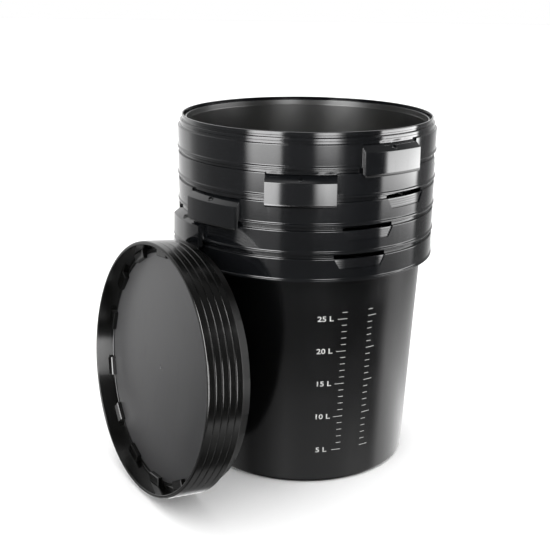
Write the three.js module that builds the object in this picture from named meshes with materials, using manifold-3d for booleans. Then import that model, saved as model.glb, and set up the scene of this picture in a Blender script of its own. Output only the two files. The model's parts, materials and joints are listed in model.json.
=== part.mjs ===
// A nested set of five 33-litre plastic fermenting buckets with their five clip-on lids.
// The buckets stand inside one another; the lids stand on edge and lean against the stack.
// Millimetres, +Z up. The origin is the centre of the bottom bucket's base, on the floor.
// Azimuths are measured from the front (-Y) towards the right (+X).

import * as THREE from 'three';
import { mergeVertices } from 'three/addons/utils/BufferGeometryUtils.js';
import Module from 'manifold-3d';

const wasm = await Module();
wasm.setup();

const degrees = THREE.MathUtils.degToRad;
const SEGMENTS = 32; // facets round every turned shape, all in the same phase so that they nest
const FINE_SEGMENTS = 64; // facets round the curved faces of the hand grips

// ---- bucket: one moulding ----
const BUCKETS = 5;
const NEST_PITCH = 40.3; // rise from one nested bucket to the next
const HEIGHT = 382;
const BASE_RADIUS = 165.5; // outside of the wall, carried down to the floor
const WALL_SLOPE = 0.05138; // growth of the radius per millimetre of height
const WALL = 1.6;
const FOOT_RADIUS = 158.5; // edge of the flat base, where the rounded corner begins
const FLOOR = 2.6;

// ---- collar and rim: heights are drops below the top of the rim ----
const LIP_RADIUS = 192; // outer lip, the guard round a closed lid
const LIP_INNER = 189.4;
const LIP_DROP = 4.8;
const UNDERCUT_RADIUS = 191;
const NECK_RADIUS = 194.5;
const NECK_DROP = 7.7;
const SKIRT_RADIUS = 198;
const SKIRT_WAIST = 197.4;
const SKIRT_FLARE = 199;
const SKIRT_INNER = 195.6;
const LEDGE_DROP = 16;
const SKIRT_DROP = 49.6;
const SEAT_RADIUS = 186.5; // inner upstand, which the lid clips over
const SEAT_INNER = 184.2;
const SEAT_DROP = 4.4;
const SEAT_BEAD = 4.8;
const SEAT_UNDERCUT = 185.3;
const CHANNEL_DROP = 11; // floor of the channel between the seat and the lip
const REBATE_DROP = 12.8; // step inside the mouth
const RIB_COUNT = 8; // stacking ribs between the wall and the skirt
const RIB_THICKNESS = 1.6;

// ---- hand grips: two hollow boxes on each collar, curved round the bucket's axis ----
const GRIP_FACE = 207.5; // radius of the face
const GRIP_WIDTH = 99.8;
const GRIP_SHOULDER = 194.5; // where the sloped top begins
const GRIP_TOP_DROP = 18.4;
const GRIP_FACE_DROP = 27.4;
const GRIP_END_DROP = 58.3; // the end walls stop here, clear of the grip below
const GRIP_BOTTOM_DROP = 61.8; // the face runs on to here
const GRIP_BEAD = 0.9; // bead along the bottom of the face
const GRIP_WALL = 1.8;
const CORD_HOLE_RADIUS = 3;
const GRIP_AZIMUTH = [-66, -62.5, -42.3, -2, 37.2]; // bottom bucket first
const SECOND_GRIP = 180;

// ---- opening notch: where the edge of a closed lid can be reached ----
const NOTCH_FROM_GRIP = 90;
const NOTCH_WIDTH_TOP = 80;
const NOTCH_WIDTH_BOTTOM = 64;
const NOTCH_DEPTH = 14;
const PLATE_OUTER = 195.9;
const PLATE_INNER = 193.9;
const PLATE_MARGIN = 6;

// ---- lid: z = 0 is the top of its ring, the plug hangs below ----
const LIDS = 5;
const LID_PITCH = 10.65;
const LID_RADIUS = 188.2;
const LID_WALL = 1.6;
const RING_INNER = 182.4;
const LID_SKIRT = 10.1;
const LID_SKIRT_INNER = 186.9;
const CLIP_RADIUS = 186.1; // bead that clips under the bucket's seat
const CLIP_HEIGHT = 1.2;
const PANEL_DEPTH = 26;
const PANEL_RADIUS = 176.2;
const PLUG_TOP = 183.4;
const PLUG_BOTTOM = 177.7;
const LUG_COUNT = 14; // pads inside the plug that carry the next lid of a stack
const LUG_LENGTH = 29;
const LUG_INNER = 165;
const LUG_HEIGHT = 8.6;
const LUG_PHASE = 172.3;

// ---- seal ring in the channel of the lid ----
const SEAL_INNER = 184;
const SEAL_OUTER = 186.5;
const SEAL_TOP = 1.9;
const SEAL_HEIGHT = 2;

// ---- the leaning stack of lids ----
const STACK_HEADING = -56; // azimuth that the lids face
const STACK_LEAN = 6; // tilt back towards the buckets
const STACK_X = -227.6;
const STACK_Y = -191.2;

const COLOURS = { bucket: 0x131416, lid: 0x1d1e20, seal: 0x2c2d2f };

// ---------- solids ----------

function toSolid(geometry) {
  const bare = geometry.clone();
  bare.deleteAttribute('normal');
  bare.deleteAttribute('uv');
  const merged = mergeVertices(bare, 1e-4);
  const corners = merged.index.array;
  const kept = [];
  for (let i = 0; i < corners.length; i += 3) {
    const [a, b, c] = corners.slice(i, i + 3);
    if (a !== b && b !== c && c !== a) kept.push(a, b, c);
  }
  return new wasm.Manifold(new wasm.Mesh({
    numProp: 3,
    vertProperties: new Float32Array(merged.attributes.position.array),
    triVerts: new Uint32Array(kept),
  }));
}

function toGeometry(solid) {
  const mesh = solid.getMesh();
  const geometry = new THREE.BufferGeometry();
  geometry.setAttribute('position', new THREE.BufferAttribute(mesh.vertProperties, 3));
  geometry.setIndex(new THREE.BufferAttribute(mesh.triVerts, 1));
  return geometry;
}

// A solid of revolution about Z; the profile is [radius, height] pairs, anticlockwise.
function turned(profile, segments = SEGMENTS) {
  const points = profile.map(([radius, height]) => new THREE.Vector2(radius, height));
  const geometry = new THREE.LatheGeometry(points, segments);
  geometry.rotateX(Math.PI / 2);
  return toSolid(geometry);
}

// A straight prism facing the front: the outline is [distance from axis, height] pairs.
function acrossPrism(outline, width, azimuth) {
  const shape = new THREE.Shape(outline.map(([out, up]) => new THREE.Vector2(out, up)));
  const geometry = new THREE.ExtrudeGeometry(shape, { depth: width, bevelEnabled: false });
  geometry.translate(0, 0, -width / 2);
  const turn = new THREE.Matrix4().makeBasis(
    new THREE.Vector3(0, -1, 0),
    new THREE.Vector3(0, 0, 1),
    new THREE.Vector3(-1, 0, 0),
  );
  geometry.applyMatrix4(turn);
  geometry.rotateZ(degrees(azimuth));
  return toSolid(geometry);
}

// A prism seen from the front: the outline is [sideways, height] pairs, run out along the radius.
function outwardPrism(outline, from, to, azimuth) {
  const shape = new THREE.Shape(outline.map(([side, up]) => new THREE.Vector2(side, up)));
  const geometry = new THREE.ExtrudeGeometry(shape, { depth: to - from, bevelEnabled: false });
  geometry.rotateX(Math.PI / 2);
  geometry.translate(0, -from, 0);
  geometry.rotateZ(degrees(azimuth));
  return toSolid(geometry);
}

// ---------- bucket ----------

function wallRadius(height) {
  return BASE_RADIUS + WALL_SLOPE * height;
}

function bucketShell() {
  const flange = HEIGHT - NECK_DROP;
  const ledge = HEIGHT - LEDGE_DROP;
  const skirtEnd = HEIGHT - SKIRT_DROP;
  const rebate = HEIGHT - REBATE_DROP;
  const channel = HEIGHT - CHANNEL_DROP;
  const seat = HEIGHT - SEAT_DROP;
  return turned([
    [0, 0],
    [FOOT_RADIUS, 0],
    [FOOT_RADIUS + 4.5, 1.3],
    [wallRadius(4.5), 4.5],
    [wallRadius(channel - WALL), channel - WALL],
    [NECK_RADIUS - WALL, channel - WALL],
    [NECK_RADIUS - WALL, ledge - WALL],
    [SKIRT_INNER, ledge - WALL],
    [SKIRT_INNER, skirtEnd],
    [SKIRT_FLARE, skirtEnd],
    [SKIRT_FLARE, skirtEnd + 2.2],
    [SKIRT_WAIST, skirtEnd + 5],
    [SKIRT_RADIUS, ledge],
    [NECK_RADIUS, ledge],
    [NECK_RADIUS, flange],
    [UNDERCUT_RADIUS, flange],
    [UNDERCUT_RADIUS, HEIGHT - LIP_DROP],
    [LIP_RADIUS, HEIGHT - LIP_DROP],
    [LIP_RADIUS, HEIGHT - 0.7],
    [LIP_RADIUS - 0.7, HEIGHT],
    [LIP_INNER, HEIGHT],
    [LIP_INNER, flange - WALL],
    [NECK_RADIUS - WALL, flange - WALL],
    [NECK_RADIUS - WALL, channel],
    [SEAT_UNDERCUT, channel],
    [SEAT_UNDERCUT, seat - SEAT_BEAD],
    [SEAT_RADIUS, seat - SEAT_BEAD],
    [SEAT_RADIUS, seat],
    [SEAT_INNER, seat],
    [wallRadius(rebate) - WALL + 0.4, rebate + 1],
    [wallRadius(rebate) - WALL, rebate],
    [wallRadius(FLOOR + 4) - WALL, FLOOR + 4],
    [wallRadius(FLOOR) - WALL - 3.5, FLOOR],
    [0, FLOOR],
  ]);
}

function stackingRib(azimuth) {
  const bottom = HEIGHT - NEST_PITCH + 0.4;
  const top = HEIGHT - LEDGE_DROP - WALL / 2;
  const inner = wallRadius(bottom) - 0.2;
  const outer = SKIRT_INNER + 0.4;
  const outline = [[inner, bottom], [outer, bottom], [outer, top], [inner + 0.8, top]];
  return acrossPrism(outline, RIB_THICKNESS, azimuth);
}

// A turned ring kept only over the given width, square to an azimuth.
function turnedSegment(profile, width, azimuth) {
  const heights = profile.map((point) => point[1]);
  const low = Math.min(...heights) - 1;
  const high = Math.max(...heights) + 1;
  const half = width / 2;
  const window = [[-half, low], [half, low], [half, high], [-half, high]];
  const ring = turned([...profile, profile[0]], FINE_SEGMENTS);
  return ring.intersect(outwardPrism(window, SEAT_RADIUS - 20, GRIP_FACE + 5, azimuth));
}

function gripBox(azimuth) {
  const bottom = HEIGHT - GRIP_BOTTOM_DROP;
  const endBottom = HEIGHT - GRIP_END_DROP;
  const faceTop = HEIGHT - GRIP_FACE_DROP;
  const top = HEIGHT - GRIP_TOP_DROP;
  const back = NECK_RADIUS - 4;
  const outside = turnedSegment([
    [back, bottom],
    [GRIP_FACE - GRIP_BEAD, bottom],
    [GRIP_FACE + GRIP_BEAD, bottom + 2.8],
    [GRIP_FACE, bottom + 3.8],
    [GRIP_FACE, faceTop],
    [GRIP_SHOULDER, top],
    [back, top],
  ], GRIP_WIDTH, azimuth);
  const inside = turnedSegment([
    [back - 1, bottom - 5],
    [GRIP_FACE - GRIP_WALL, bottom - 5],
    [GRIP_FACE - GRIP_WALL, faceTop - 1],
    [GRIP_SHOULDER - 1, top - GRIP_WALL],
    [back - 1, top - GRIP_WALL],
  ], GRIP_WIDTH - 2 * GRIP_WALL, azimuth);
  const underEnds = turnedSegment([
    [back - 1, bottom - 5],
    [GRIP_FACE - GRIP_WALL, bottom - 5],
    [GRIP_FACE - GRIP_WALL, endBottom],
    [back - 1, endBottom],
  ], GRIP_WIDTH + 2, azimuth);
  return outside.subtract(inside).subtract(underEnds).subtract(cordHole(azimuth));
}

// Clears the ledge away above a grip, so that the sloped top starts at the neck.
function gripRelief(azimuth) {
  return turnedSegment([
    [GRIP_SHOULDER, HEIGHT - GRIP_TOP_DROP],
    [GRIP_FACE, HEIGHT - GRIP_FACE_DROP],
    [GRIP_FACE, HEIGHT - NECK_DROP - 1],
    [GRIP_SHOULDER, HEIGHT - NECK_DROP - 1],
  ], GRIP_WIDTH, azimuth);
}

// The small hole in the middle of the sloped top of a grip, square to the slope.
function cordHole(azimuth) {
  const run = GRIP_FACE - GRIP_SHOULDER;
  const rise = GRIP_FACE_DROP - GRIP_TOP_DROP;
  const geometry = new THREE.CylinderGeometry(CORD_HOLE_RADIUS, CORD_HOLE_RADIUS, 8, 8);
  geometry.rotateX(Math.atan2(rise, run));
  geometry.translate(0, -(GRIP_FACE - run / 2), HEIGHT - GRIP_FACE_DROP + rise / 2);
  geometry.rotateZ(degrees(azimuth));
  return toSolid(geometry);
}

// Everything inside the collar, so that a grip stops at the collar's own wall.
function insideOfCollar() {
  const skirtEnd = HEIGHT - SKIRT_DROP;
  const ledge = HEIGHT - LEDGE_DROP;
  const clear = SKIRT_FLARE + 0.8;
  const joined = SKIRT_INNER + 1;
  const neck = NECK_RADIUS - 0.8;
  return turned([
    [0, skirtEnd - 20],
    [clear, skirtEnd - 20],
    [clear, skirtEnd + 1],
    [joined, skirtEnd + 1],
    [joined, ledge - 8],
    [neck, ledge - 8],
    [neck, HEIGHT],
    [0, HEIGHT],
  ]);
}

function notchCut(azimuth) {
  const ledge = HEIGHT - LEDGE_DROP - WALL;
  const flange = HEIGHT - NECK_DROP - WALL;
  const half = NOTCH_WIDTH_TOP / 2;
  const halfBottom = NOTCH_WIDTH_BOTTOM / 2;
  return outwardPrism([
    [-halfBottom, ledge - NOTCH_DEPTH],
    [halfBottom, ledge - NOTCH_DEPTH],
    [half, ledge],
    [half, flange],
    [-half, flange],
    [-half, ledge],
  ], SEAT_RADIUS + 1.5, SKIRT_FLARE + 5, azimuth);
}

// The curved plate that closes the lower part of the notch, set back behind the skirt.
function notchPlate(azimuth) {
  const top = HEIGHT - LEDGE_DROP - WALL + 0.6;
  const bottom = top - NOTCH_DEPTH - 2.5;
  const ring = turned([
    [PLATE_INNER, bottom],
    [PLATE_OUTER, bottom],
    [PLATE_OUTER, top],
    [PLATE_INNER, top],
    [PLATE_INNER, bottom],
  ]);
  const half = NOTCH_WIDTH_TOP / 2 + PLATE_MARGIN;
  const window = [[-half, bottom - 1], [half, bottom - 1], [half, top + 1], [-half, top + 1]];
  return ring.intersect(outwardPrism(window, NECK_RADIUS - 30, SKIRT_RADIUS + 5, azimuth));
}

function bucket(gripAzimuth) {
  const notch = gripAzimuth + NOTCH_FROM_GRIP;
  let solid = bucketShell();
  for (let i = 0; i < RIB_COUNT; i += 1) {
    solid = solid.add(stackingRib((i * 360) / RIB_COUNT));
  }
  solid = solid.subtract(notchCut(notch)).add(notchPlate(notch));
  const core = insideOfCollar();
  for (const azimuth of [gripAzimuth, gripAzimuth + SECOND_GRIP]) {
    solid = solid.subtract(gripRelief(azimuth)).add(gripBox(azimuth).subtract(core));
  }
  return toGeometry(solid);
}

// ---------- lid and seal ----------

function lidShell() {
  return turned([
    [0, -PANEL_DEPTH - LID_WALL],
    [PLUG_BOTTOM, -PANEL_DEPTH - LID_WALL],
    [PLUG_TOP, -LID_WALL],
    [LID_SKIRT_INNER, -LID_WALL],
    [LID_SKIRT_INNER, -LID_SKIRT + CLIP_HEIGHT],
    [CLIP_RADIUS, -LID_SKIRT + CLIP_HEIGHT - 0.4],
    [CLIP_RADIUS, -LID_SKIRT],
    [LID_RADIUS, -LID_SKIRT],
    [LID_RADIUS, -1.4],
    [LID_RADIUS - 1.4, 0],
    [RING_INNER, 0],
    [RING_INNER - 0.8, -1],
    [PANEL_RADIUS, -PANEL_DEPTH],
    [0, -PANEL_DEPTH],
  ]);
}

function stackingLug(angle) {
  const foot = -PANEL_DEPTH - 0.5;
  const top = -PANEL_DEPTH + LUG_HEIGHT;
  const outline = [
    [LUG_INNER, foot],
    [PANEL_RADIUS + 0.4, foot],
    [PANEL_RADIUS + 2.1, top],
    [LUG_INNER + 1, top],
  ];
  return acrossPrism(outline, LUG_LENGTH, angle + 90);
}

function lid() {
  let solid = lidShell();
  for (let i = 0; i < LUG_COUNT; i += 1) {
    solid = solid.add(stackingLug(LUG_PHASE + (i * 360) / LUG_COUNT));
  }
  return toGeometry(solid);
}

function lidSeal() {
  const bottom = -SEAL_TOP - SEAL_HEIGHT;
  return toGeometry(turned([
    [SEAL_INNER, bottom],
    [SEAL_OUTER, bottom],
    [SEAL_OUTER, -SEAL_TOP],
    [SEAL_INNER, -SEAL_TOP],
    [SEAL_INNER, bottom],
  ]));
}

// ---------- assembly ----------

function piece(name, geometry, kind, roughness) {
  const material = new THREE.MeshStandardMaterial({ color: COLOURS[kind], roughness, metalness: 0 });
  const mesh = new THREE.Mesh(geometry, material);
  mesh.name = name;
  return mesh;
}

// Local +Z is the way the lids face, local +X is level and to the right.
function leaningFrame() {
  const heading = degrees(STACK_HEADING);
  const lean = degrees(STACK_LEAN);
  const right = new THREE.Vector3(Math.cos(heading), Math.sin(heading), 0);
  const facing = new THREE.Vector3(
    Math.cos(lean) * Math.sin(heading),
    -Math.cos(lean) * Math.cos(heading),
    Math.sin(lean),
  );
  const up = new THREE.Vector3().crossVectors(facing, right);
  const lowestEdge = (LIDS - 1) * LID_PITCH + LID_SKIRT;
  const height = LID_RADIUS * Math.cos(lean) + lowestEdge * Math.sin(lean);
  const frame = new THREE.Group();
  frame.setRotationFromMatrix(new THREE.Matrix4().makeBasis(right, up, facing));
  frame.position.set(STACK_X, STACK_Y, height);
  return frame;
}

function lidStack() {
  const stack = leaningFrame();
  for (let i = 0; i < LIDS; i += 1) {
    const place = -(LIDS - 1 - i) * LID_PITCH;
    const cover = piece(`lid_${i + 1}`, lid(), 'lid', 0.3);
    const seal = piece(`lid_seal_${i + 1}`, lidSeal(), 'seal', 0.6);
    cover.position.z = place;
    seal.position.z = place;
    stack.add(cover, seal);
  }
  return stack;
}

const set = new THREE.Group();
for (let i = 0; i < BUCKETS; i += 1) {
  const shell = piece(`bucket_${i + 1}`, bucket(GRIP_AZIMUTH[i]), 'bucket', 0.25);
  shell.position.z = i * NEST_PITCH;
  set.add(shell);
}
set.add(lidStack());

export default set;
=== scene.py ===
"""Visual model of a nested set of black plastic fermenting buckets and their leaning lids.

Lengths in this script are millimetres until a mesh is made, when MM turns them into metres.
Azimuths are degrees from the front (-Y) towards the right (+X), as in the CAD.
"""
import json
import math

import bmesh
import bpy
from mathutils import Matrix, Vector


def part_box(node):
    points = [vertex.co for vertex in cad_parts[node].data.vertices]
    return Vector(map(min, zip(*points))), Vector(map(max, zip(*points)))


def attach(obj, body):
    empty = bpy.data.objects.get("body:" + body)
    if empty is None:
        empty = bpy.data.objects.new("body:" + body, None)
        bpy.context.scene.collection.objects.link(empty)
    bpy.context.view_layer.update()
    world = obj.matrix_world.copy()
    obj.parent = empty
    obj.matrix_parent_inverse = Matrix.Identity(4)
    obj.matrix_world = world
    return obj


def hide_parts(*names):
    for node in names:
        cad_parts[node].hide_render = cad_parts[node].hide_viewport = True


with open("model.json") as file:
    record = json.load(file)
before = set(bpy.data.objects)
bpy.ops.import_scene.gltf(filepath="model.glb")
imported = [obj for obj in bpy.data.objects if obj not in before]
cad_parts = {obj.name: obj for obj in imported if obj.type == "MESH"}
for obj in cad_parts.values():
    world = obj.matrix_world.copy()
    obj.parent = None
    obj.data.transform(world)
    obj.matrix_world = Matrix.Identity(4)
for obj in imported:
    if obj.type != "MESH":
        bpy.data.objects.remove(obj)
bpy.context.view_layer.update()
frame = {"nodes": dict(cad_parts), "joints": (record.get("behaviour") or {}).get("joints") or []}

MM = 0.001
SEGMENTS = 240  # facets round a turned shape
ARC_STEP = 12.0  # degrees between the points of a rounded corner
ON_AXIS = 1e-6  # a radius below this lies on the axis

# ---- bucket, as in the CAD ----
BUCKETS = ["bucket_1", "bucket_2", "bucket_3", "bucket_4", "bucket_5"]
GRIP_AZIMUTH = [-66, -62.5, -42.3, -2, 37.2]
HEIGHT = 382.0
BASE_RADIUS = 165.5
WALL_SLOPE = 0.05138  # growth of the radius per millimetre of height
WALL = 1.6
FLOOR = 2.6
BASE_CORNER = 7.0
LIP_RADIUS = 192.0
LIP_INNER = 189.4
LIP_DROP = 4.8  # every drop is counted down from the top of the bucket
UNDERCUT_RADIUS = 191.0
NECK_RADIUS = 194.5
NECK_DROP = 7.7
NECK_LINE = 3.4  # fine groove round the neck, this far above the ledge
SKIRT_RADIUS = 198.0
SKIRT_WAIST = 197.4
SKIRT_FLARE = 199.0
SKIRT_INNER = 195.6
LEDGE_DROP = 16.0
SKIRT_DROP = 49.6
SEAT_RADIUS = 186.5
SEAT_INNER = 184.2
SEAT_DROP = 4.4
SEAT_BEAD = 4.8
SEAT_UNDERCUT = 185.3
CHANNEL_DROP = 11.0
REBATE_DROP = 12.8
NEST_PITCH = 40.3
RIB_COUNT = 8
RIB_THICKNESS = 1.6
RIB_GAP = 0.4  # left between a rib and the rim below it
OVERLAP = 0.4  # how far a joined part reaches into the wall it stands on

# ---- hand grips ----
GRIP_FACE = 207.5
GRIP_WIDTH = 99.8
GRIP_SHOULDER = 194.5
GRIP_TOP_DROP = 18.4
GRIP_FACE_DROP = 27.4
GRIP_END_DROP = 58.3
GRIP_BOTTOM_DROP = 61.8
GRIP_BEAD = 0.9
GRIP_WALL = 1.8
GRIP_DRAFT = 0.6  # the face leans back this much towards its top
CORD_HOLE_RADIUS = 3.0
CORD_HOLE_SIDES = 32
EYELET_WIDTH = 1.4
EYELET_HEIGHT = 1.0
EYELET_DEPTH = 1.2
GRIP_CORNER = 2.6
FLUTE_PITCH = 2.6
FLUTE_DEPTH = 0.8
FLUTE_SLOPE = 0.4
FLUTE_LAND = 0.7
FLUTES = 4
FLUTE_MARGIN = 1.5  # from the last flute to the corner of the face
GRIP_REACH = 20.0  # the grip's plan starts this far inside the seat
GRIP_BACK = 4.0  # the grip's body starts this far inside the neck
PLAN_NEAR = 120.0  # a plan outline reaches from this far off the axis
PLAN_FAR = 240.0

# ---- opening notch ----
NOTCH_FROM_GRIP = 90
NOTCH_WIDTH_TOP = 80.0
NOTCH_WIDTH_BOTTOM = 64.0
NOTCH_DEPTH = 14.0
PLATE_OUTER = 195.9
PLATE_INNER = 193.9
PLATE_MARGIN = 6.0
PLATE_OVERLAP = 0.6  # the plate reaches this far into the ledge
PLATE_BELOW = 2.5  # plain part of the plate below its ribs
PLATE_RIB_PITCH = 3.2
PLATE_RIB_HEIGHT = 2.0
PLATE_RIB_DEPTH = 0.5

# ---- lid ----
LIDS = ["lid_1", "lid_2", "lid_3", "lid_4", "lid_5"]
SEALS = ["lid_seal_1", "lid_seal_2", "lid_seal_3", "lid_seal_4", "lid_seal_5"]
LID_RADIUS = 188.2
LID_WALL = 1.6
RING_INNER = 182.4
LID_SKIRT = 10.1
LID_SKIRT_INNER = 186.9
CLIP_RADIUS = 186.1
CLIP_HEIGHT = 1.2
PANEL_DEPTH = 26.0
PANEL_RADIUS = 176.2
PANEL_PLATEAU = 170.5  # the matt middle of the panel stands a little proud of the gloss round it
PLATEAU_HEIGHT = 1.2
SKIRT_DRAFT = 0.9  # the skirt's radius is this much smaller at the top
PLUG_TOP = 183.4
PLUG_BOTTOM = 177.7
GATE_MARK = 5.0  # ring left by the gate in the middle of the panel
RING_TOLERANCE = 0.05  # finds the points of the ring's flat top
LUG_COUNT = 14
LUG_LENGTH = 29.0
LUG_INNER = 165.0
LUG_OUTER = PANEL_RADIUS + 2.6  # ends inside the plug's wall
LUG_HEIGHT = 8.6
LUG_PHASE = 172.3  # degrees to the first lug
LUG_CHAMFER = 1.2
SEAL_INNER = 184.0
SEAL_OUTER = 186.5
SEAL_TOP = 1.9
SEAL_HEIGHT = 2.0

# ---- printed litre scale ----
INK_LOW = 0.02  # the ink film stands this far off the wall
INK_HIGH = 0.10
LEFT_COLUMN = 86.9  # azimuths of the two columns, counted from the first grip
RIGHT_COLUMN = 98.0
LABEL_AZIMUTH = 76.4
FIRST_LITRE = 5
LAST_LITRE = 26
MAJOR_TICK = 14.5
MINOR_TICK = 7.8
TICK_THICKNESS = 0.8
LABEL_RAISE = 1.7
LABEL_HEIGHT = 8.0
LABEL_FONT_SIZE = 1.42 * LABEL_HEIGHT  # makes the figures about LABEL_HEIGHT high
LABEL_BOLDNESS = 0.22
LABEL_STRETCH = 1.2
LABEL_REACH = 40.0  # no label is longer than this to either side
PRINT_SHIFT = -5.6  # the photo shows the whole print this far below the computed heights
CUBIC_METRES_PER_LITRE = 0.001
HALVINGS = 40
LABEL_SLICE = 1.5  # width of the strips that bend a label round the wall
BAR_SLICE = 2.5


# ---------- outlines ----------

def fillet(before, corner, after, radius):
    """Points of an arc that rounds one corner of an outline."""
    p0, p1, p2 = Vector(before[:2]), Vector(corner[:2]), Vector(after[:2])
    to_before, to_after = (p0 - p1), (p2 - p1)
    room = 0.48 * min(to_before.length, to_after.length)
    to_before.normalize()
    to_after.normalize()
    half = to_before.angle(to_after) / 2
    radius = min(radius, room * math.tan(half))
    bisector = (to_before + to_after).normalized()
    centre = p1 + bisector * (radius / math.sin(half))
    start = p1 + to_before * (radius / math.tan(half)) - centre
    turn = math.pi - 2 * half
    if to_before.cross(to_after) > 0:
        turn = -turn
    steps = max(2, round(abs(math.degrees(turn)) / ARC_STEP))
    points = []
    for i in range(steps + 1):
        angle = turn * i / steps
        c, s = math.cos(angle), math.sin(angle)
        points.append((centre.x + start.x * c - start.y * s, centre.y + start.x * s + start.y * c))
    return points


def rounded(outline, closed):
    """Rounds every corner that carries a third value, its radius."""
    points = []
    count = len(outline)
    for i, corner in enumerate(outline):
        if len(corner) < 3 or (not closed and i in (0, count - 1)):
            points.append(corner[:2])
        else:
            points += fillet(outline[i - 1], corner, outline[(i + 1) % count], corner[2])
    return points


# ---------- solids ----------

def add_object(name, vertices, faces):
    mesh = bpy.data.meshes.new(name)
    mesh.from_pydata([tuple(c * MM for c in v) for v in vertices], [], faces)
    mesh.validate()
    thing = bpy.data.objects.new(name, mesh)
    bpy.context.scene.collection.objects.link(thing)
    return thing


def around(radius, azimuth, height):
    angle = math.radians(azimuth)
    return (radius * math.sin(angle), -radius * math.cos(angle), height)


def revolve(name, outline, segments=SEGMENTS):
    """Turns an anticlockwise outline of (radius, height) about Z. It closes on itself or on the axis."""
    on_axis = outline[0][0] < ON_AXIS
    points = rounded(outline, not on_axis)
    vertices = []
    rings = []
    for radius, height in points:
        if radius < ON_AXIS:
            rings.append([len(vertices)] * segments)
            vertices.append((0, 0, height))
        else:
            rings.append(list(range(len(vertices), len(vertices) + segments)))
            vertices += [around(radius, 360 * k / segments, height) for k in range(segments)]
    faces = []
    pairs = list(zip(rings, rings[1:]))
    if not on_axis:
        pairs.append((rings[-1], rings[0]))
    for low, high in pairs:
        for k in range(segments):
            n = (k + 1) % segments
            corners = [low[k], low[n], high[n], high[k]]
            faces.append([c for i, c in enumerate(corners) if c not in corners[:i]])
    return add_object(name, vertices, faces)


def prism(name, outline, low, high, place):
    """A straight prism: the outline lies in XY, runs from low to high along Z, then place moves it."""
    points = rounded(outline, True)
    count = len(points)
    vertices = [place @ Vector((x, y, z)) for z in (low, high) for x, y in points]
    faces = [list(range(count))[::-1], list(range(count, 2 * count))]
    faces += [[i, (i + 1) % count, count + (i + 1) % count, count + i] for i in range(count)]
    return add_object(name, vertices, faces)


def turn_z(azimuth):
    return Matrix.Rotation(math.radians(azimuth), 4, "Z")


def in_metres(matrix):
    """The same placement for a mesh that is already in metres."""
    scaled = matrix.copy()
    scaled.translation = matrix.translation * MM
    return scaled


def across(azimuth):
    """Outline X points outwards and Y up; the prism runs sideways."""
    basis = Matrix(((0, 0, -1, 0), (-1, 0, 0, 0), (0, 1, 0, 0), (0, 0, 0, 1)))
    return turn_z(azimuth) @ basis


def outwards(azimuth):
    """Outline X points to the right and Y up; the prism runs out along the radius."""
    basis = Matrix(((1, 0, 0, 0), (0, 0, -1, 0), (0, 1, 0, 0), (0, 0, 0, 1)))
    return turn_z(azimuth) @ basis


def combine(target, tool, operation):
    """Joins or cuts two closed meshes and removes the tool."""
    step = target.modifiers.new("combine", "BOOLEAN")
    step.operation = operation
    step.solver = "MANIFOLD"
    step.object = tool
    graph = bpy.context.evaluated_depsgraph_get()
    mesh = bpy.data.meshes.new_from_object(target.evaluated_get(graph))
    target.modifiers.clear()
    target.data = mesh
    bpy.data.objects.remove(tool)
    return target


def smooth(thing, sharp_degrees=32):
    """Smooth shading in which the large faces stay flat and only the rounded corners turn."""
    thing.data.shade_smooth()
    thing.data.set_sharp_from_angle(angle=math.radians(sharp_degrees))
    step = thing.modifiers.new("flatten", "WEIGHTED_NORMAL")
    step.keep_sharp = True
    step.weight = 100  # large faces win over small ones
    graph = bpy.context.evaluated_depsgraph_get()
    thing.data = bpy.data.meshes.new_from_object(
        thing.evaluated_get(graph), preserve_all_data_layers=True, depsgraph=graph)
    thing.modifiers.clear()
    return thing


def copy_of(thing, name, matrix):
    twin = bpy.data.objects.new(name, thing.data.copy())
    twin.data.name = name
    twin.data.transform(matrix)
    bpy.context.scene.collection.objects.link(twin)
    return twin


# ---------- bucket ----------

def wall_radius(height):
    return BASE_RADIUS + WALL_SLOPE * height


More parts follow.
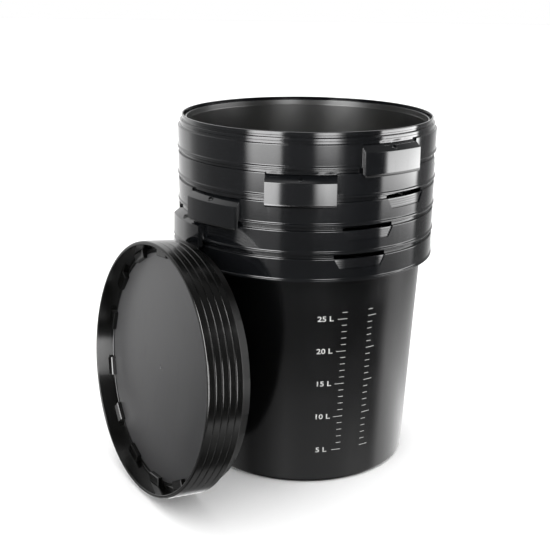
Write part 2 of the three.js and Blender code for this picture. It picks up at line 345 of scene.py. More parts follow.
def bucket_shell():
    """The turned part of a bucket. A third number at a corner is the radius that rounds it."""
    flange = HEIGHT - NECK_DROP
    ledge = HEIGHT - LEDGE_DROP
    skirt_end = HEIGHT - SKIRT_DROP
    rebate = HEIGHT - REBATE_DROP
    channel = HEIGHT - CHANNEL_DROP
    seat = HEIGHT - SEAT_DROP
    return revolve("bucket_master", [
        (0, 0),
        (wall_radius(0), 0, BASE_CORNER),
        (wall_radius(channel - WALL), channel - WALL, 0.8),
        (NECK_RADIUS - WALL, channel - WALL),
        (NECK_RADIUS - WALL, ledge - WALL, 0.6),
        (SKIRT_INNER, ledge - WALL, 0.6),
        (SKIRT_INNER, skirt_end, 0.6),
        (SKIRT_FLARE, skirt_end, 0.7),
        (SKIRT_FLARE, skirt_end + 2.4, 0.6),
        (SKIRT_WAIST, skirt_end + 4.0, 1.5),
        (SKIRT_RADIUS, ledge, 1.3),
        (NECK_RADIUS, ledge, 0.7),
        (NECK_RADIUS, ledge + NECK_LINE, 0.1),
        (NECK_RADIUS - 0.4, ledge + NECK_LINE + 0.3, 0.1),
        (NECK_RADIUS - 0.4, ledge + NECK_LINE + 0.7, 0.1),
        (NECK_RADIUS, ledge + NECK_LINE + 1.0, 0.1),
        (NECK_RADIUS, flange, 1.1),
        (UNDERCUT_RADIUS, flange, 0.6),
        (UNDERCUT_RADIUS, HEIGHT - LIP_DROP, 0.3),
        (LIP_RADIUS, HEIGHT - LIP_DROP, 0.6),
        (LIP_RADIUS, HEIGHT, 1.0),
        (LIP_INNER, HEIGHT, 0.8),
        (LIP_INNER, flange - WALL, 0.4),
        (NECK_RADIUS - WALL, flange - WALL, 0.4),
        (NECK_RADIUS - WALL, channel, 0.6),
        (SEAT_UNDERCUT, channel, 0.6),
        (SEAT_UNDERCUT, seat - SEAT_BEAD, 0.3),
        (SEAT_RADIUS, seat - SEAT_BEAD, 0.5),
        (SEAT_RADIUS, seat, 0.9),
        (SEAT_INNER, seat, 0.7),
        (wall_radius(rebate) - WALL + 0.4, rebate + 1.2, 0.8),
        (wall_radius(rebate) - WALL, rebate, 0.8),
        (wall_radius(FLOOR) - WALL, FLOOR, BASE_CORNER - 1),
        (0, FLOOR),
    ])


def stacking_rib(azimuth):
    """One of the upright ribs under the collar, which keep the nesting pitch."""
    bottom = HEIGHT - NEST_PITCH + RIB_GAP
    top = HEIGHT - LEDGE_DROP - WALL / 2
    inner = wall_radius(bottom) - OVERLAP
    outer = SKIRT_INNER + OVERLAP
    outline = [(inner, bottom), (outer, bottom), (outer, top), (inner + 2 * OVERLAP, top)]
    return prism("rib", outline, -RIB_THICKNESS / 2, RIB_THICKNESS / 2, across(azimuth))


def fluted_end(half, start):
    """The end wall of a grip in plan, with shallow upright flutes."""
    points = []
    for i in range(FLUTES):
        left = start + i * FLUTE_PITCH
        right = left + FLUTE_PITCH - FLUTE_LAND
        points += [(half, left), (half - FLUTE_DEPTH, left + FLUTE_SLOPE)]
        points += [(half - FLUTE_DEPTH, right - FLUTE_SLOPE), (half, right)]
    return points


def grip_plan():
    """Plan outline of a grip: X sideways, Y outwards, with rounded corners and fluted ends."""
    half = GRIP_WIDTH / 2
    near = SEAT_RADIUS - GRIP_REACH
    corner = math.sqrt((GRIP_FACE + GRIP_BEAD) ** 2 - half ** 2)
    apex = corner + half * half / corner
    right = fluted_end(half, corner - FLUTE_MARGIN - FLUTES * FLUTE_PITCH)
    left = [(-x, y) for x, y in reversed(right)]
    return [(half, near)] + right + [(half, corner, GRIP_CORNER), (0, apex),
                                     (-half, corner, GRIP_CORNER)] + left + [(-half, near)]


def turned_segment(outline, plan, azimuth):
    """A turned ring kept only inside a plan outline: X sideways, Y outwards from the axis."""
    heights = [corner[1] for corner in outline]
    ring = revolve("ring", outline)
    window = prism("window", plan, min(heights) - 1, max(heights) + 1, turn_z(azimuth + 180))
    return combine(ring, window, "INTERSECT")


def strip(width):
    """Plan outline of a plain strip of a given width."""
    half = width / 2
    return [(half, PLAN_NEAR), (half, PLAN_FAR), (-half, PLAN_FAR), (-half, PLAN_NEAR)]


def grip_body(azimuth):
    """The box of one grip: closed outside, open below, and a little shorter at its two ends."""
    bottom = HEIGHT - GRIP_BOTTOM_DROP
    below = bottom - 5
    end_bottom = HEIGHT - GRIP_END_DROP
    face_top = HEIGHT - GRIP_FACE_DROP
    top = HEIGHT - GRIP_TOP_DROP
    back = NECK_RADIUS - GRIP_BACK
    outside = turned_segment([
        (back, bottom),
        (GRIP_FACE - GRIP_BEAD, bottom, 0.4),
        (GRIP_FACE + GRIP_BEAD, bottom + 2.4, 0.9),
        (GRIP_FACE, bottom + 4.2, 1.5),
        (GRIP_FACE - GRIP_DRAFT, face_top, 1.0),
        (GRIP_SHOULDER, top, 0.8),
        (back, top),
    ], grip_plan(), azimuth)
    inside = turned_segment([
        (back - 1, below),
        (GRIP_FACE - GRIP_WALL, below),
        (GRIP_FACE - GRIP_WALL, face_top - 1, 1.0),
        (GRIP_SHOULDER - 1, top - GRIP_WALL, 1.0),
        (back - 1, top - GRIP_WALL),
    ], strip(GRIP_WIDTH - 2 * GRIP_WALL), azimuth)
    combine(outside, inside, "DIFFERENCE")
    under_ends = turned_segment([
        (back - 1, below),
        (GRIP_FACE - GRIP_WALL, below),
        (GRIP_FACE - GRIP_WALL, end_bottom),
        (back - 1, end_bottom),
    ], strip(GRIP_WIDTH + 2), azimuth)
    combine(outside, under_ends, "DIFFERENCE")
    return add_eyelet(outside, azimuth)


def grip_relief(azimuth):
    """Clears the ledge away above a grip, so that the sloped top starts at the neck."""
    return turned_segment([
        (GRIP_SHOULDER, HEIGHT - GRIP_TOP_DROP),
        (GRIP_FACE, HEIGHT - GRIP_FACE_DROP),
        (GRIP_FACE, HEIGHT - NECK_DROP - 1),
        (GRIP_SHOULDER, HEIGHT - NECK_DROP - 1),
    ], strip(GRIP_WIDTH), azimuth)


def add_eyelet(grip, azimuth):
    """A round hole with a raised rim, square to the middle of the grip's sloped top."""
    run = GRIP_FACE - GRIP_SHOULDER
    rise = GRIP_FACE_DROP - GRIP_TOP_DROP
    middle = Matrix.Translation((0, -(GRIP_FACE - run / 2), HEIGHT - GRIP_FACE_DROP + rise / 2))
    tilt = Matrix.Rotation(math.atan2(rise, run), 4, "X")
    place = turn_z(azimuth) @ middle @ tilt
    rim = revolve("rim", [
        (CORD_HOLE_RADIUS - 0.5, -EYELET_DEPTH),
        (CORD_HOLE_RADIUS + EYELET_WIDTH, -EYELET_DEPTH),
        (CORD_HOLE_RADIUS + EYELET_WIDTH, EYELET_HEIGHT, 0.7),
        (CORD_HOLE_RADIUS - 0.5, EYELET_HEIGHT, 0.4),
    ], CORD_HOLE_SIDES)
    rim.data.transform(in_metres(place))
    combine(grip, rim, "UNION")
    circle = [around(CORD_HOLE_RADIUS, 360 * k / CORD_HOLE_SIDES, 0)[:2] for k in range(CORD_HOLE_SIDES)]
    hole = prism("hole", circle, -5, 5, place)
    return combine(grip, hole, "DIFFERENCE")


def inside_of_collar():
    """The room inside the collar, cut out of a grip so that it stops at the collar's own wall."""
    skirt_end = HEIGHT - SKIRT_DROP
    ledge = HEIGHT - LEDGE_DROP
    clear = SKIRT_FLARE + 0.8
    joined = SKIRT_INNER + 1
    neck = NECK_RADIUS - 0.8
    return revolve("core", [
        (0, skirt_end - 20),
        (clear, skirt_end - 20),
        (clear, skirt_end + 1),
        (joined, skirt_end + 1),
        (joined, ledge - 8),
        (neck, ledge - 8),
        (neck, HEIGHT),
        (0, HEIGHT),
    ])


def notch_cut(azimuth):
    ledge = HEIGHT - LEDGE_DROP - WALL
    flange = HEIGHT - NECK_DROP - WALL
    half = NOTCH_WIDTH_TOP / 2
    half_bottom = NOTCH_WIDTH_BOTTOM / 2
    outline = [
        (-half_bottom, ledge - NOTCH_DEPTH, 1.5),
        (half_bottom, ledge - NOTCH_DEPTH, 1.5),
        (half, ledge),
        (half, flange),
        (-half, flange),
        (-half, ledge),
    ]
    return prism("notch", outline, SEAT_RADIUS + 1.5, SKIRT_FLARE + 5, outwards(azimuth))


def notch_plate(azimuth):
    """The set-back plate in the lower part of the notch, with fine level ribs."""
    top = HEIGHT - LEDGE_DROP - WALL + PLATE_OVERLAP
    bottom = top - NOTCH_DEPTH - PLATE_BELOW
    ribs = []
    level = bottom + PLATE_BELOW
    while level < top - PLATE_RIB_HEIGHT - 1:
        ribs += [(PLATE_OUTER, level), (PLATE_OUTER + PLATE_RIB_DEPTH, level + 0.3),
                 (PLATE_OUTER, level + PLATE_RIB_HEIGHT)]
        level += PLATE_RIB_PITCH
    foot = [(PLATE_INNER, bottom), (PLATE_OUTER, bottom)]
    ring = revolve("plate", foot + ribs + [(PLATE_OUTER, top, 0.4), (PLATE_INNER, top)])
    half = NOTCH_WIDTH_TOP / 2 + PLATE_MARGIN
    window = [(-half, bottom - 1), (half, bottom - 1), (half, top + 1), (-half, top + 1)]
    tool = prism("window", window, NECK_RADIUS - 30, SKIRT_RADIUS + 5, outwards(azimuth))
    return combine(ring, tool, "INTERSECT")


def bucket_master():
    """One bucket with its first grip at azimuth 0."""
    shell = bucket_shell()
    for i in range(RIB_COUNT):
        combine(shell, stacking_rib(360 * i / RIB_COUNT), "UNION")
    combine(shell, notch_cut(NOTCH_FROM_GRIP), "DIFFERENCE")
    combine(shell, notch_plate(NOTCH_FROM_GRIP), "UNION")
    for azimuth in (0, 180):
        combine(shell, grip_relief(azimuth), "DIFFERENCE")
        grip = combine(grip_body(azimuth), inside_of_collar(), "DIFFERENCE")
        combine(shell, grip, "UNION")
    return shell


# ---------- lid ----------

def lid_shell():
    """The turned part of a lid: underside, plug, skirt with its bead, ring, panel and gate mark."""
    return revolve("lid_master", [
        (0, -PANEL_DEPTH - LID_WALL),
        (PLUG_BOTTOM, -PANEL_DEPTH - LID_WALL, 1.6),
        (PLUG_TOP, -LID_WALL, 0.8),
        (LID_SKIRT_INNER, -LID_WALL, 0.8),
        (LID_SKIRT_INNER, -LID_SKIRT + CLIP_HEIGHT, 0.2),
        (CLIP_RADIUS, -LID_SKIRT + CLIP_HEIGHT - 0.4, 0.3),
        (CLIP_RADIUS, -LID_SKIRT, 0.3),
        (LID_RADIUS, -LID_SKIRT, 0.5),
        (LID_RADIUS - SKIRT_DRAFT, 0, 2.4),
        (RING_INNER, 0, 1.2),
        (PANEL_RADIUS, -PANEL_DEPTH, 1.5),
        (PANEL_PLATEAU, -PANEL_DEPTH, 0.4),
        (PANEL_PLATEAU - 1.0, -PANEL_DEPTH + PLATEAU_HEIGHT, 0.5),
        (GATE_MARK, -PANEL_DEPTH + PLATEAU_HEIGHT),
        (GATE_MARK - 0.4, -PANEL_DEPTH + PLATEAU_HEIGHT - 0.4),
        (1.2, -PANEL_DEPTH + PLATEAU_HEIGHT - 0.4),
        (0.8, -PANEL_DEPTH + PLATEAU_HEIGHT + 0.4),
        (0, -PANEL_DEPTH + PLATEAU_HEIGHT + 0.4),
    ])


def chamfered_block(name, outline, low, high, chamfer, place):
    """A block on an outline in XY whose top edges are cut back."""
    middle = sum((Vector(p) for p in outline), Vector((0, 0))) / len(outline)
    inner = [Vector(p) - Vector([math.copysign(chamfer, c) for c in Vector(p) - middle]) for p in outline]
    layers = [(outline, low), (outline, high - chamfer), (inner, high)]
    vertices = [place @ Vector((x, y, z)) for points, z in layers for x, y in points]
    count = len(outline)
    faces = [list(range(count))[::-1], list(range(2 * count, 3 * count))]
    for level in (0, count):
        faces += [[level + i, level + (i + 1) % count, level + count + (i + 1) % count, level + count + i]
                  for i in range(count)]
    return add_object(name, vertices, faces)


def stacking_lug(angle):
    """A block between the panel and the plug's wall, on which the next lid's plug stands."""
    foot = -PANEL_DEPTH - 0.5
    top = -PANEL_DEPTH + LUG_HEIGHT
    half = LUG_LENGTH / 2
    outer = math.sqrt(LUG_OUTER ** 2 - half ** 2)
    outline = [(LUG_INNER, -half), (outer, -half), (outer, half), (LUG_INNER, half)]
    return chamfered_block("lug", outline, foot, top, LUG_CHAMFER, turn_z(angle))


def lid_master():
    """One lid, its ring's top at z = 0 and its open side up."""
    shell = lid_shell()
    for i in range(LUG_COUNT):
        combine(shell, stacking_lug(LUG_PHASE + 360 * i / LUG_COUNT), "UNION")
    return shell


def seal_master():
    bottom = -SEAL_TOP - SEAL_HEIGHT
    return revolve("seal_master", [
        (SEAL_INNER, bottom, 0.7),
        (SEAL_OUTER, bottom, 0.7),
        (SEAL_OUTER, -SEAL_TOP, 0.4),
        (SEAL_INNER, -SEAL_TOP, 0.4),
    ])


def lid_place(node, axis):
    """The frame of a lid: Z along its axis, X level and to the right, origin at the top of its ring."""
    points = [v.co for v in frame["nodes"][node].data.vertices]
    reach = max(p.dot(axis) for p in points)
    ring = [p for p in points if p.dot(axis) > reach - RING_TOLERANCE * MM]
    centre = sum(ring, Vector()) / len(ring)
    right = Vector((-axis.y, axis.x, 0)).normalized()
    up = axis.cross(right)
    place = Matrix((right, up, axis)).transposed().to_4x4()
    place.translation = centre
    return place


# ---------- printed scale ----------

def litre_height(litres):
    """Height of a litre mark above the base: where the volume stands, moved by the print's shift."""
    inner = (BASE_RADIUS - WALL) * MM
    target = litres * CUBIC_METRES_PER_LITRE / math.pi
    low, high = 0.0, HEIGHT * MM
    for _ in range(HALVINGS):
        middle = (low + high) / 2
        top = inner + WALL_SLOPE * middle
        if middle * (inner * inner + inner * top + top * top) / 3 < target:
            low = middle
        else:
            high = middle
    return FLOOR + PRINT_SHIFT + low / MM


def wrapped(azimuth, side, height, off):
    """A point on the wall: side millimetres to the right of an azimuth, off millimetres proud."""
    radius = wall_radius(height) + off
    return around(radius, azimuth + math.degrees(side / radius), height)


def ink_bar(vertices, faces, azimuth, left, right, low, high):
    """Adds one closed bar of ink that follows the wall."""
    slices = max(1, round((right - left) / BAR_SLICE))
    start = len(vertices)
    for i in range(slices + 1):
        side = left + (right - left) * i / slices
        vertices += [wrapped(azimuth, side, z, off)
                     for z, off in ((low, INK_LOW), (low, INK_HIGH), (high, INK_HIGH), (high, INK_LOW))]
    for i in range(slices):
        a = start + 4 * i
        b = a + 4
        for k in range(4):
            n = (k + 1) % 4
            faces.append([a + k, b + k, b + n, a + n])
    faces.append([start, start + 1, start + 2, start + 3])
    end = start + 4 * slices
    faces.append([end + 3, end + 2, end + 1, end])


def scale_ticks():
    vertices, faces = [], []
    for litre in range(FIRST_LITRE, LAST_LITRE + 1):
        length = MAJOR_TICK if litre % 5 == 0 else MINOR_TICK
        low = litre_height(litre) - TICK_THICKNESS / 2
        high = low + TICK_THICKNESS
        ink_bar(vertices, faces, LEFT_COLUMN, -length, 0, low, high)
        ink_bar(vertices, faces, RIGHT_COLUMN, 0, length, low, high)
    return add_object("ticks", vertices, faces)


def scale_label(text, height):
    """A number and its unit, wrapped round the wall, centred on the labels' azimuth."""
    curve = bpy.data.curves.new("label", "FONT")
    curve.body = text
    curve.size = LABEL_FONT_SIZE
    curve.align_x = "CENTER"
    curve.offset = LABEL_BOLDNESS
    curve.resolution_u = 3
    writer = bpy.data.objects.new("label", curve)
    bpy.context.scene.collection.objects.link(writer)
    graph = bpy.context.evaluated_depsgraph_get()
    mesh = bpy.data.meshes.new_from_object(writer.evaluated_get(graph))
    bpy.data.objects.remove(writer)
    work = bmesh.new()
    work.from_mesh(mesh)
    bpy.data.meshes.remove(mesh)
    bmesh.ops.remove_doubles(work, verts=work.verts, dist=1e-4)
    bmesh.ops.scale(work, vec=(LABEL_STRETCH, 1, 1), verts=work.verts)
    side = -LABEL_REACH
    while side < LABEL_REACH:
        everything = work.verts[:] + work.edges[:] + work.faces[:]
        bmesh.ops.bisect_plane(work, geom=everything, plane_co=(side, 0, 0), plane_no=(1, 0, 0))
        side += LABEL_SLICE
    for face in work.faces:
        if face.normal.z < 0:
            face.normal_flip()
    skin = bmesh.ops.extrude_face_region(work, geom=work.faces[:])
    raised = {v for v in skin["geom"] if isinstance(v, bmesh.types.BMVert)}
    for v in work.verts:
        off = INK_HIGH if v in raised else INK_LOW
        place = wrapped(LABEL_AZIMUTH, v.co.x, height + v.co.y - LABEL_HEIGHT / 2 + LABEL_RAISE, off)
        v.co = Vector(place) * MM
    bmesh.ops.recalc_face_normals(work, faces=work.faces)
    out = bpy.data.meshes.new("label")
    work.to_mesh(out)
    work.free()
    thing = bpy.data.objects.new("label", out)
    bpy.context.scene.collection.objects.link(thing)
    return thing


def scale_master():
    """The whole litre scale as one mesh, on a bucket whose first grip is at azimuth 0."""
    parts = [scale_ticks()]
    for litre in range(FIRST_LITRE, LAST_LITRE, 5):
        parts.append(scale_label(f"{litre} L", litre_height(litre)))
    work = bmesh.new()
    for part in parts:
        work.from_mesh(part.data)
        bpy.data.objects.remove(part)
    mesh = bpy.data.meshes.new("scale_master")
    work.to_mesh(mesh)
    work.free()
    thing = bpy.data.objects.new("scale_master", mesh)
    bpy.context.scene.collection.objects.link(thing)
    return thing


# ---------- materials ----------

# Scales of the noise textures per metre, and depths of the bumps in metres.
WAVE_SCALE = 9.0
WAVE_DEPTH = 0.0016
CLOUD_SCALE = 14.0
SCUFF_SCALE = 60.0
RUB_SCALE = 160.0
INK_SCALE = 900.0
GRAIN_SCALE = 1400.0
GRAIN_DEPTH = 0.00004
MATT_SCALE = 1800.0
FINE_DEPTH = 0.00003  # of the matt panel and the ink
PAINTED_SHADING_SPAN = 0.14  # painted shading: the panel's colour darkens over about this many metres either side of a lid's middle


def add_math(tree, operation, first, second=0.0):
    """A maths node; either value is a number or the output of another node."""
    node = tree.nodes.new("ShaderNodeMath")
    node.operation = operation
    for socket, value in zip(node.inputs, (first, second)):
        if isinstance(value, (int, float)):
            socket.default_value = value
        else:
            tree.links.new(value, socket)
    return node.outputs["Value"]


class Nodes:
    """Shorthand for building a material's node tree."""

    def __init__(self, name):
        self.material = bpy.data.materials.new(name)
        self.material.use_nodes = True
        self.tree = self.material.node_tree
        self.shader = self.tree.nodes["Principled BSDF"]
        coordinates = self.add("ShaderNodeTexCoord")
        self.place = coordinates.outputs["Object"]

    def add(self, kind, **values):
        node = self.tree.nodes.new(kind)
        for key, value in values.items():
            setattr(node, key, value)
        return node

    def link(self, source, target):
        self.tree.links.new(source, target)

    def noise(self, scale, detail=3.0, stretch=(1, 1, 1)):
        mapping = self.add("ShaderNodeMapping")
        mapping.inputs["Scale"].default_value = stretch
        self.link(self.place, mapping.inputs["Vector"])
        texture = self.add("ShaderNodeTexNoise")
        texture.inputs["Scale"].default_value = scale
        texture.inputs["Detail"].default_value = detail
        self.link(mapping.outputs["Vector"], texture.inputs["Vector"])
        return texture.outputs["Fac"]

    def between(self, value, low, high, start=0.3, end=0.7):
        """Maps a value between start and end onto low to high."""
        mapper = self.add("ShaderNodeMapRange")
        self.link(value, mapper.inputs["Value"])
        mapper.inputs["From Min"].default_value = start
        mapper.inputs["From Max"].default_value = end
        mapper.inputs["To Min"].default_value = low
        mapper.inputs["To Max"].default_value = high
        return mapper.outputs["Result"]

    def math(self, operation, first, second):
        return add_math(self.tree, operation, first, second)

    def bump(self, height, distance, strength, below=None):
        node = self.add("ShaderNodeBump")
        node.inputs["Distance"].default_value = distance
        node.inputs["Strength"].default_value = strength
        self.link(height, node.inputs["Height"])
        if below is not None:
            self.link(below, node.inputs["Normal"])
        return node.outputs["Normal"]

    def mixed_colour(self, factor, dark, light):
        node = self.add("ShaderNodeMix", data_type="RGBA")
        self.link(factor, node.inputs["Factor"])
        node.inputs["A"].default_value = (*dark, 1)
        node.inputs["B"].default_value = (*light, 1)
        return node.outputs["Result"]


def moulded_plastic(name, dark, light, gloss, grain, specular=0.5):
    """Injection-moulded plastic: slow waviness, fine grain, rub marks and uneven gloss.

    gloss is the range of the roughness, and grain the strength of the fine grain.
    """
    n = Nodes(name)
    waves = n.noise(WAVE_SCALE, 1.0)
    grain_texture = n.noise(GRAIN_SCALE, 2.0)
    rubs = n.noise(RUB_SCALE, 5.0, (1, 1, 0.12))
    clouds = n.noise(CLOUD_SCALE, 4.0)
    rough = n.between(clouds, *gloss)
    rough = n.math("ADD", rough, n.between(rubs, 0.0, 0.05, 0.55, 0.8))
    n.link(rough, n.shader.inputs["Roughness"])
    n.link(n.mixed_colour(n.between(clouds, 0, 1), dark, light), n.shader.inputs["Base Color"])
    surface = n.bump(waves, WAVE_DEPTH, 0.25)
    surface = n.bump(grain_texture, GRAIN_DEPTH, grain, surface)
    n.link(surface, n.shader.inputs["Normal"])
    n.shader.inputs["Specular IOR Level"].default_value = specular
    return n.material


def panel_plastic(place):
    """Fine matt grain in the middle of a lid, with painted shading that makes its colour darker towards the
    lower right.
    """
    n = Nodes("lid_matt")
    direction = place.col[0].xyz - place.col[1].xyz * 0.5
    along = n.add("ShaderNodeVectorMath", operation="DOT_PRODUCT")
    n.link(n.place, along.inputs[0])
    along.inputs[1].default_value = direction
    distance = n.math("SUBTRACT", along.outputs["Value"], place.translation.dot(direction))
    clouds = n.noise(CLOUD_SCALE, 4.0)
    # painted shading: lighter at the upper left, darker at the lower right, with a little random tone from
    # the clouds
    painted_shading = n.math("ADD", n.between(distance, 1.0, 0.1, -PAINTED_SHADING_SPAN, PAINTED_SHADING_SPAN),
                  n.between(clouds, -0.05, 0.05))
    n.link(n.mixed_colour(painted_shading, (0.009, 0.009, 0.010), (0.066, 0.066, 0.067)),
           n.shader.inputs["Base Color"])
    scuffs = n.between(n.noise(SCUFF_SCALE, 6.0, (1, 1, 0.3)), 0.0, 0.06, 0.55, 0.8)
    n.link(n.math("ADD", n.between(clouds, 0.30, 0.35), scuffs), n.shader.inputs["Roughness"])
    n.link(n.bump(n.noise(MATT_SCALE, 2.0), FINE_DEPTH, 0.4), n.shader.inputs["Normal"])
    return n.material


def ink_material():
    n = Nodes("scale_ink")
    patches = n.noise(INK_SCALE, 4.0)
    n.link(n.mixed_colour(n.between(patches, 0, 1, 0.3, 0.55), (0.36, 0.36, 0.35), (0.52, 0.52, 0.51)),
           n.shader.inputs["Base Color"])
    n.link(n.between(patches, 0.4, 0.6), n.shader.inputs["Roughness"])
    n.link(n.bump(patches, FINE_DEPTH, 0.5), n.shader.inputs["Normal"])
    return n.material


def floor_material():
    n = Nodes("studio_floor")
    clouds = n.noise(3.0, 2.0)
    n.link(n.mixed_colour(clouds, (0.90, 0.90, 0.90), (0.94, 0.94, 0.94)), n.shader.inputs["Base Color"])
    n.link(n.between(clouds, 0.75, 0.9), n.shader.inputs["Roughness"])
    n.shader.inputs["Specular IOR Level"].default_value = 0.1
    return n.material


# ---------- pieces ----------

def use(thing, *materials):
    thing.data.materials.clear()
    for material in materials:
        thing.data.materials.append(material)


def finish_bucket(mesh):
    """The collar and rim are polished and carry painted light in a lighter base colour, the tapered body is
    satin and carries painted shade in a nearly black one, and the inside of the wall duller.
    """
    polished, satin, dull = range(3)
    for face in mesh.polygons:
        height = face.center.z / MM
        outside = satin if height < HEIGHT - SKIRT_DROP else polished
        inside = face.center.xy.length / MM < wall_radius(height) - WALL / 2
        face.material_index = dull if inside else outside


def finish_lid(mesh):
    """The ring and the plug's wall are polished, the middle of the panel matt and the underside dull."""
    polished, matt, dull = range(3)
    for face in mesh.polygons:
        depth = face.center.z / MM
        radius = face.center.xy.length / MM
        middle = radius < PANEL_PLATEAU and abs(depth + PANEL_DEPTH - PLATEAU_HEIGHT) < 0.8
        outward = face.normal.xy.dot(face.center.xy) > 0
        underside = depth < -LID_SKIRT and (outward or face.normal.z < -0.9)
        face.material_index = matt if middle else dull if underside else polished


def build_buckets():
    # One plastic in three finishes: the collar's lighter base colour is painted light and the satin body's
    # nearly black one painted shade; their roughness is the real finish.
    gloss = moulded_plastic("bucket_gloss", (0.0038, 0.0042, 0.0048), (0.0055, 0.0060, 0.0069),
                            (0.08, 0.12), 0.15)
    satin = moulded_plastic("bucket_satin", (0.0005, 0.0006, 0.0007), (0.0010, 0.0011, 0.0013),
                            (0.15, 0.19), 0.3)
    inside = moulded_plastic("bucket_inside", (0.006, 0.006, 0.006), (0.011, 0.011, 0.010),
                             (0.30, 0.36), 0.3)
    ink = ink_material()
    master = bucket_master()
    use(master, gloss, satin, inside)
    finish_bucket(master.data)
    smooth(master)
    scale = scale_master()
    use(scale, ink)
    for node, azimuth in zip(BUCKETS, GRIP_AZIMUTH):
        place = Matrix.Translation((0, 0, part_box(node)[0].z)) @ turn_z(azimuth)
        shell = copy_of(master, f"{node}_shell", place)
        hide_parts(node)
        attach(shell, node)
        printed = copy_of(scale, f"{node}_litre_scale", place)
        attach(printed, node)
    bpy.data.objects.remove(master)
    bpy.data.objects.remove(scale)


def build_lids():
    dark, light = (0.0012, 0.0012, 0.0011), (0.0022, 0.0022, 0.0020)
    polished = moulded_plastic("lid_gloss", dark, light, (0.12, 0.16), 0.2)
    under = moulded_plastic("lid_underside", dark, light, (0.35, 0.45), 0.5, specular=0.12)
    rubber = moulded_plastic("seal_rubber", (0.02, 0.02, 0.02), (0.03, 0.03, 0.03), (0.55, 0.7), 0.6)
    axis = Vector(next(j["axis"] for j in frame["joints"] if j["name"] == "pull_lid_1")).normalized()
    cover = lid_master()
    use(cover, polished, panel_plastic(lid_place(LIDS[-1], axis)), under)
    finish_lid(cover.data)
    smooth(cover)
    seal = smooth(seal_master())
    use(seal, rubber)
    for node, seal_node in zip(LIDS, SEALS):
        place = lid_place(node, axis)
        piece = copy_of(cover, f"{node}_shell", place)
        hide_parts(node)
        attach(piece, node)
        ring = copy_of(seal, f"{seal_node}_ring", place)
        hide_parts(seal_node)
        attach(ring, node)
    bpy.data.objects.remove(cover)
    bpy.data.objects.remove(seal)


# ---------- studio ----------

# The studio as the shiny plastic sees it: radiance against azimuth or elevation, in degrees.
SURROUND = [(-180, 1.2), (-140, 1.5), (-127, 1.5), (-118, 0.85), (-110, 0.55), (-90, 0.35), (-60, 0.28),
            (0, 0.24), (38, 0.24), (48, 0.1), (64, 0.1), (75, 0.24), (110, 0.26), (134, 0.34),
            (142, 0.6), (150, 0.85), (165, 1.1), (180, 1.2)]
SURROUND_HEIGHT = [(-90, 0.0), (-30, 0.1), (-22, 0.2), (-18, 0.65), (-11, 1.0), (30, 1.0), (60, 0.6),
                   (90, 0.6)]
LEFT_BOX = [(-180, 0), (-54.4, 0), (-51, 0.6), (-46.5, 1), (-27, 1), (-22.4, 0.85), (-20.8, 0), (180, 0)]
LEFT_BOX_HEIGHT = [(-90, 0), (-22, 0), (-19.3, 0.3), (-16.2, 0.6), (-14.5, 1.6), (-12.9, 5.5), (-11, 12),
                   (0, 16), (50, 16), (56, 0), (90, 0)]
RIGHT_BOX = [(-180, 0), (68.5, 0), (70.5, 1), (112, 1), (116, 0), (180, 0)]
RIGHT_BOX_HEIGHT = [(-90, 0), (-22, 0), (-19.3, 0.3), (-17.7, 0.6), (-16.2, 1.0), (-14.5, 3.0),
                    (-12.5, 8.5), (-11, 12.5), (-9, 13), (-7, 6), (38, 5), (42, 0), (90, 0)]
WINDOW = [(-180, 0), (6, 0), (11, 0.7), (18, 1), (25, 0.9), (31, 0.15), (35, 0), (180, 0)]
WINDOW_HEIGHT = [(-90, 0), (-15, 0), (-13.4, 0.4), (-12.7, 1.5), (-12, 3.5), (-11, 8), (-9.5, 14), (20, 14),
                 (24, 0), (90, 0)]
TABLE = [(-180, 0.8), (-100, 0.5), (-60, 0.1), (-40, 0.2), (-18, 0.5), (0, 0.42), (36, 0.45), (60, 0.6),
         (80, 0.5), (95, 0.1), (110, 0.0), (180, 0.0)]
TABLE_HEIGHT = [(-90, 0.1), (-60, 0.15), (-42, 0.8), (-34, 1.8), (-31.2, 1.8), (-29.2, 0.5), (-25, 0.1),
                (-19, 0.0), (90, 0)]
RIGHT_GLOW = [(-180, 0.8), (-150, 0.5), (-120, 0), (84, 0), (90, 0.6), (98, 2.4), (112, 2.7), (135, 2.5),
              (180, 0.8)]
RIGHT_GLOW_HEIGHT = [(-90, 0.1), (-60, 0.2), (-42, 0.7), (-32, 0.5), (-29, 0.7), (-26, 0.9), (-24, 0.5),
                     (-21, 0.35), (-17, 0), (90, 0)]
LIGHTS = [(SURROUND, SURROUND_HEIGHT), (LEFT_BOX, LEFT_BOX_HEIGHT), (RIGHT_BOX, RIGHT_BOX_HEIGHT),
          (WINDOW, WINDOW_HEIGHT), (TABLE, TABLE_HEIGHT), (RIGHT_GLOW, RIGHT_GLOW_HEIGHT)]
WHITE_FILL = 1.6  # even light on matt surfaces
BACKDROP = 1.0  # what the camera sees behind the buckets
FLOOR_HALF = 12000.0


def graph_of(tree, degrees, stops):
    """Reads a list of (degrees, value) pairs as a graph with straight stretches."""
    low, high = stops[0][0], stops[-1][0]
    peak = max(value for _, value in stops)
    place = add_math(tree, "DIVIDE", add_math(tree, "SUBTRACT", degrees, low), high - low)
    ramp = tree.nodes.new("ShaderNodeValToRGB")
    tree.links.new(place, ramp.inputs["Fac"])
    elements = ramp.color_ramp.elements
    for angle, _ in stops[1:-1]:
        elements.new((angle - low) / (high - low))
    for element, (angle, value) in zip(elements, stops):
        element.position = (angle - low) / (high - low)
        element.color = (value / peak, value / peak, value / peak, 1)
    return add_math(tree, "MULTIPLY", ramp.outputs["Color"], peak)


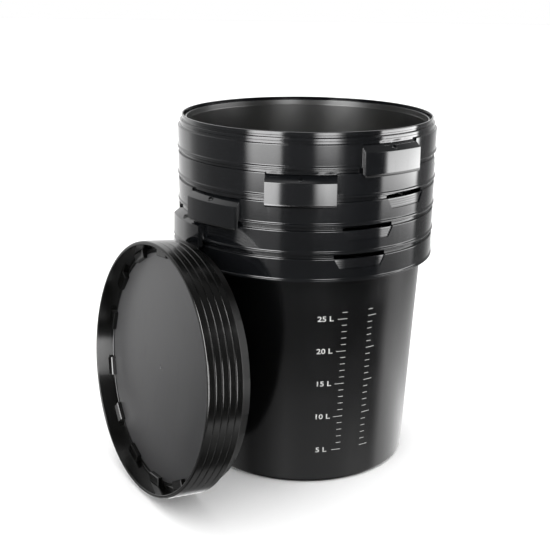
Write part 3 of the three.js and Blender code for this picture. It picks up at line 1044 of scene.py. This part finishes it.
def build_world():
    """Light by direction: boxes and panes in reflections, even white on matt surfaces and behind."""
    world = bpy.data.worlds.new("studio")
    bpy.context.scene.world = world
    world.use_nodes = True
    world.cycles.sampling_method = "NONE"
    tree = world.node_tree
    tree.nodes.clear()
    direction = tree.nodes.new("ShaderNodeTexCoord").outputs["Generated"]
    parts = tree.nodes.new("ShaderNodeSeparateXYZ")
    tree.links.new(direction, parts.inputs["Vector"])
    to_front = add_math(tree, "MULTIPLY", parts.outputs["Y"], -1.0)
    azimuth = add_math(tree, "DEGREES", add_math(tree, "ARCTAN2", parts.outputs["X"], to_front))
    elevation = add_math(tree, "DEGREES", add_math(tree, "ARCSINE", parts.outputs["Z"]))
    light = None
    for level_stops, upright_stops in LIGHTS:
        source = add_math(tree, "MULTIPLY", graph_of(tree, azimuth, level_stops),
                          graph_of(tree, elevation, upright_stops))
        light = source if light is None else add_math(tree, "ADD", light, source)
    path = tree.nodes.new("ShaderNodeLightPath")
    for flag, value in (("Is Diffuse Ray", WHITE_FILL), ("Is Camera Ray", BACKDROP)):
        choice = tree.nodes.new("ShaderNodeMix")
        tree.links.new(path.outputs[flag], choice.inputs["Factor"])
        tree.links.new(light, choice.inputs["A"])
        choice.inputs["B"].default_value = value
        light = choice.outputs["Result"]
    background = tree.nodes.new("ShaderNodeBackground")
    background.inputs["Color"].default_value = (1, 1, 1, 1)
    tree.links.new(light, background.inputs["Strength"])
    output = tree.nodes.new("ShaderNodeOutputWorld")
    tree.links.new(background.outputs["Background"], output.inputs["Surface"])


def build_floor():
    corners = [(-1, -1), (1, -1), (1, 1), (-1, 1)]
    floor = add_object("floor", [(x * FLOOR_HALF, y * FLOOR_HALF, 0) for x, y in corners], [(0, 1, 2, 3)])
    use(floor, floor_material())
    floor.visible_glossy = False


def area_light(name, place, target, size, power):
    data = bpy.data.lights.new(name, "AREA")
    data.shape = "RECTANGLE"
    data.size, data.size_y = size
    data.energy = power
    lamp = bpy.data.objects.new(name, data)
    lamp.location = place
    lamp.rotation_euler = (Vector(target) - Vector(place)).to_track_quat("-Z", "Y").to_euler()
    lamp.visible_glossy = False
    bpy.context.scene.collection.objects.link(lamp)


OVERHEAD_PLACE = (0.0, -0.3, 2.6)  # metres
OVERHEAD_TARGET = (0, 0, 0)
OVERHEAD_SIZE = (2.4, 2.4)
OVERHEAD_POWER = 12  # watts

CAMERA_DISTANCE = 1.5552  # metres in front of the buckets' axis
CAMERA_HEIGHT = 0.763
CAMERA_PITCH = 17.2  # degrees down
CAMERA_YAW = -1.72
CAMERA_ROLL = 0.62
CAMERA_LENS = 66.23
CAMERA_SENSOR = 36.0


def build_camera():
    pitch, yaw, roll = (math.radians(a) for a in (CAMERA_PITCH, CAMERA_YAW, CAMERA_ROLL))
    forward = Vector((math.sin(yaw) * math.cos(pitch), math.cos(yaw) * math.cos(pitch), -math.sin(pitch)))
    right = forward.cross(Vector((0, 0, 1))).normalized()
    up = right.cross(forward)
    rolled_right = right * math.cos(roll) + up * math.sin(roll)
    rolled_up = up * math.cos(roll) - right * math.sin(roll)
    data = bpy.data.cameras.new("camera")
    data.lens = CAMERA_LENS
    data.sensor_width = CAMERA_SENSOR
    camera = bpy.data.objects.new("camera", data)
    place = Matrix((rolled_right, rolled_up, -forward)).transposed().to_4x4()
    place.translation = (0, -CAMERA_DISTANCE, CAMERA_HEIGHT)
    camera.matrix_world = place
    bpy.context.scene.collection.objects.link(camera)
    bpy.context.scene.camera = camera


build_buckets()
build_lids()
build_world()
build_floor()
area_light("overhead", OVERHEAD_PLACE, OVERHEAD_TARGET, OVERHEAD_SIZE, OVERHEAD_POWER)
build_camera()
bpy.context.scene.view_settings.view_transform = "Standard"
